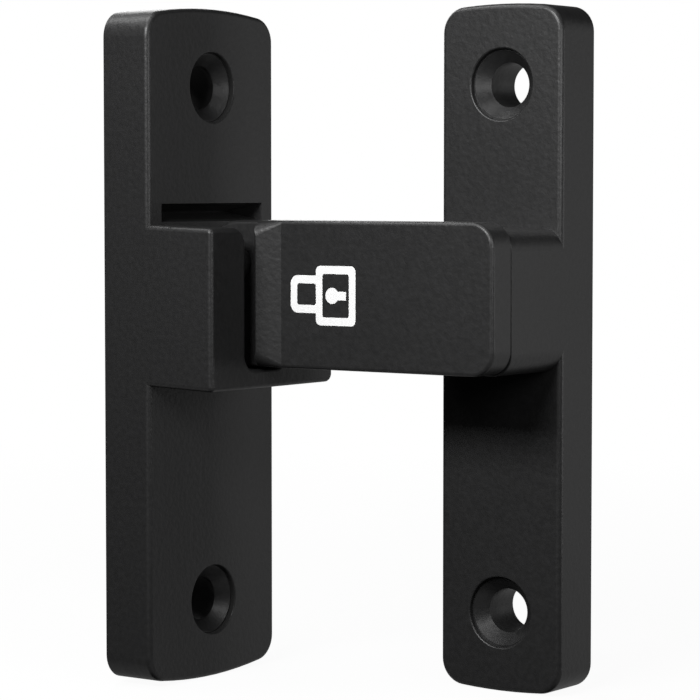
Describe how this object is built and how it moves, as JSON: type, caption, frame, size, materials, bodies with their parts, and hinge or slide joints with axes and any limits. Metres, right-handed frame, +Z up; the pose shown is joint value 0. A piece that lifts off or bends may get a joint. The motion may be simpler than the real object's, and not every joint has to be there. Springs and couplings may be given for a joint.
{
  "type": "sliding door lock",
  "caption": "Right-angle sliding door lock: upright base plate with a flip-up latch bar that drops its stud into a strike plate on the door, marked with a padlock symbol.",
  "frame": {"origin": "centre of the base plate's back face, midway between its two screw holes", "axes": "+X out of the base plate, along the closed bar; +Y towards the strike plate's back; +Z up, along both plates"},
  "size_m": [0.0485, 0.0302, 0.08],
  "materials": {
    "black_coat": "fine-grained black powder coat on zinc die casting",
    "pin_steel": "ground steel",
    "washer_nylon": "black nylon",
    "white_fill": "white paint fill"
  },
  "bodies": {
    "base": {"base_plate": "black_coat", "hinge_pin": "pin_steel", "friction_washer_left": "washer_nylon", "friction_washer_right": "washer_nylon", "strike_plate": "black_coat"},
    "bar": {"latch_bar": "black_coat", "padlock_symbol": "white_fill"}
  },
  "joints": [
    {"name": "bar_flip", "type": "hinge", "parent": "base", "child": "bar", "pos_m": [0.013, 0, 0.01], "axis": [0, -1, 0], "range_deg": [0, 90]}
  ]
}
